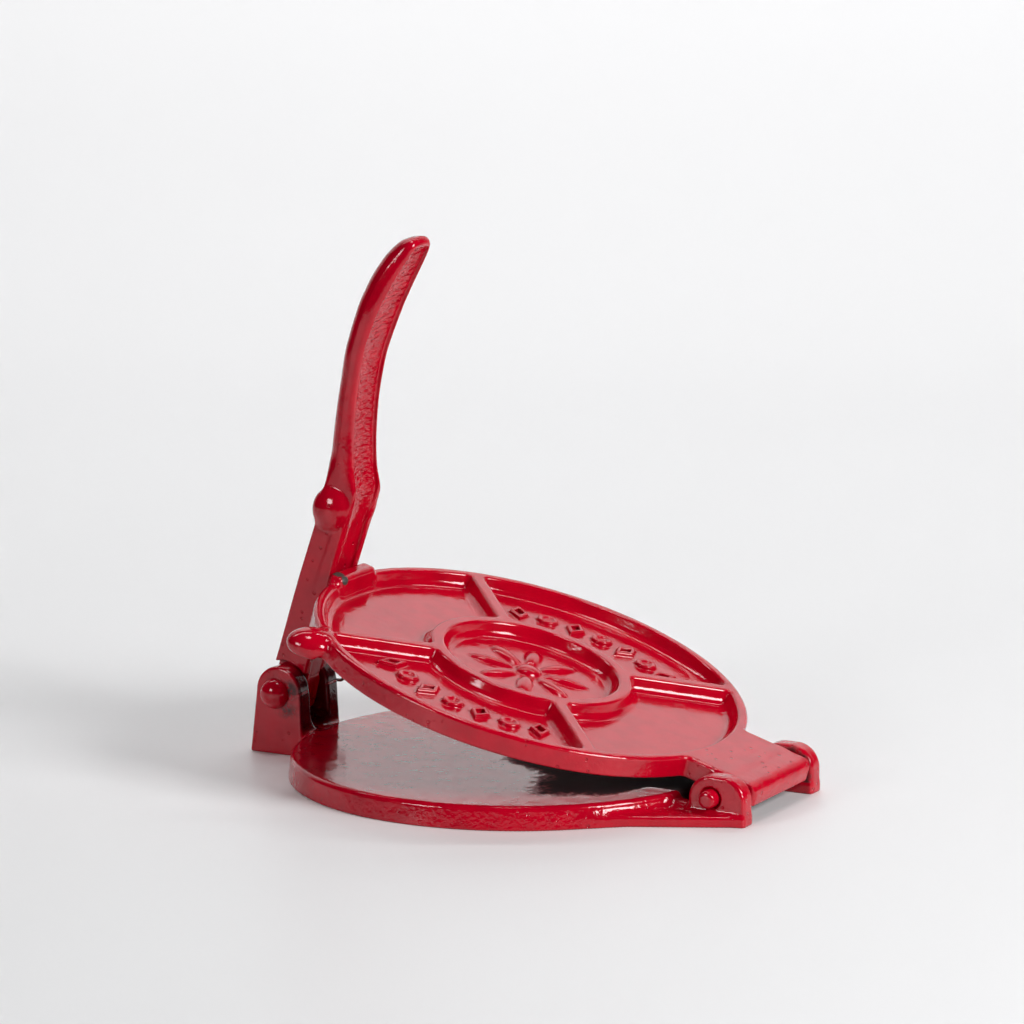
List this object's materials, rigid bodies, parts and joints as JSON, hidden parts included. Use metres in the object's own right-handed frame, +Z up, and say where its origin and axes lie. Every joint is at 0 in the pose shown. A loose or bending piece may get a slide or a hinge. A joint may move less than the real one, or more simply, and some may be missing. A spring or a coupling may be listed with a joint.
{
  "type": "tortilla press",
  "caption": "Hand press: a round base, a hinged round top plate sunk and ribbed above, and an upright lever that bears on the plate's nose to flatten dough.",
  "frame": {"origin": "middle of the base disc's underside, which stands on the table", "axes": "+X towards the plate hinge, -X towards the lever, +Z up, +Y to the side of the spring clip"},
  "size_m": [0.2506, 0.196, 0.2325],
  "materials": {
    "red_enamel": "gloss crimson enamel over sand-cast iron",
    "pin_enamel": "steel pins painted over with the castings",
    "spring_wire": "drawn spring wire"
  },
  "bodies": {
    "base_body": {"base": "red_enamel", "hinge_pin": "pin_enamel", "lever_pin": "pin_enamel", "spring_clip": "spring_wire"},
    "plate_body": {"top_plate": "red_enamel"},
    "lever_body": {"lever": "red_enamel"}
  },
  "joints": [
    {"name": "plate_hinge", "type": "hinge", "parent": "base_body", "child": "plate_body", "pos_m": [0.1106, 0, 0.011], "axis": [0, 1, 0], "range_deg": [-16.8, 22]},
    {"name": "lever_pivot", "type": "hinge", "parent": "base_body", "child": "lever_body", "pos_m": [-0.1105, 0, 0.027], "axis": [0, 1, 0], "range_deg": [-108, 0]}
  ]
}
